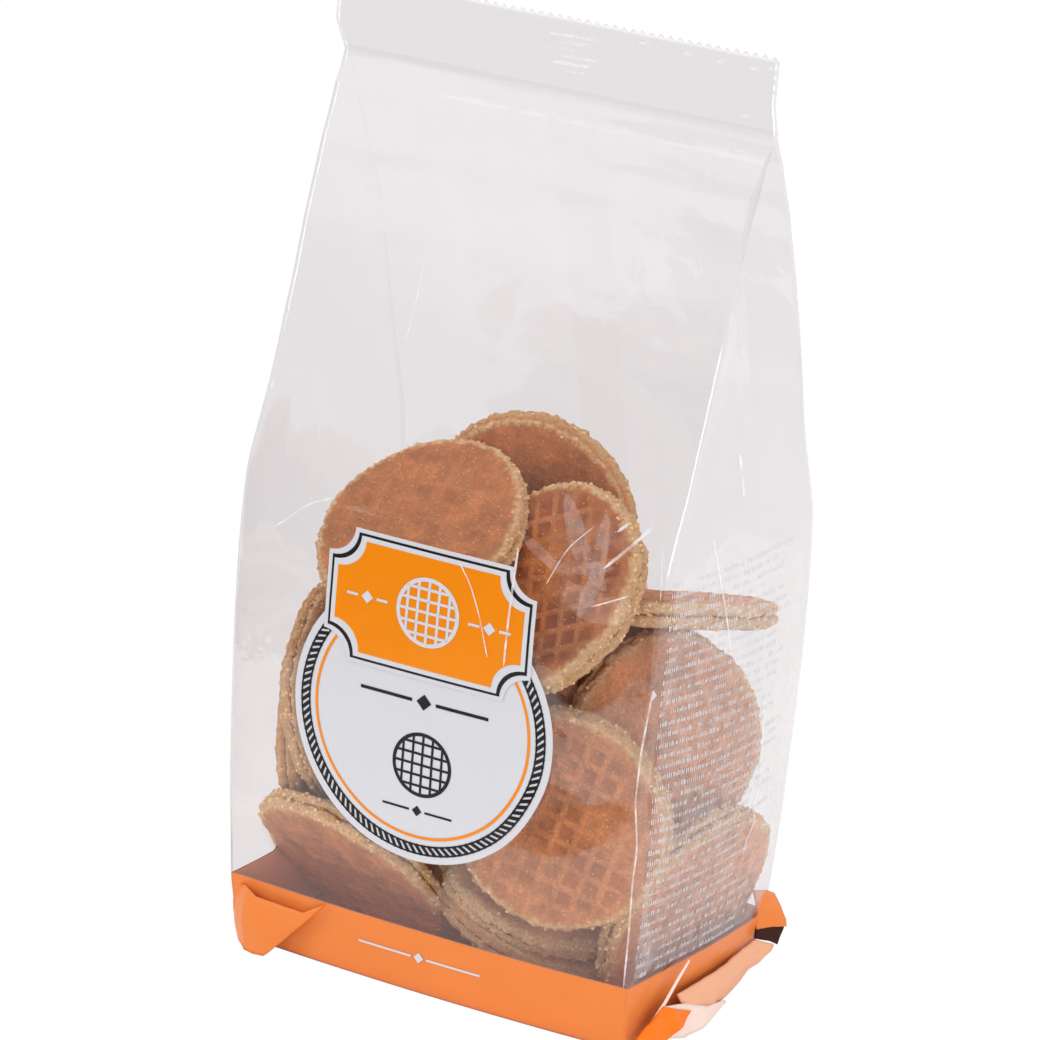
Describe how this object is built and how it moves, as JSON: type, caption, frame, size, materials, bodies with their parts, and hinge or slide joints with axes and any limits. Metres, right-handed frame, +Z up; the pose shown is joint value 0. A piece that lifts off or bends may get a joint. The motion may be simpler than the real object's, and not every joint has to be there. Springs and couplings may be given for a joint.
{
  "type": "bag of stroopwafels",
  "caption": "Sealed clear film bag of mini stroopwafels, with a folded flat base, a round front label and a crimped top seal.",
  "frame": {"origin": "middle of the flat base, on the surface that the bag stands on", "axes": "+Z up to the top seal, +X to the right along the wide front panel, -Y out of the front panel with the label"},
  "size_m": [0.1097, 0.066, 0.2096],
  "materials": {
    "film": "clear glossy film"
  },
  "bodies": {
    "root": {"bag": "film"}
  },
  "joints": []
}
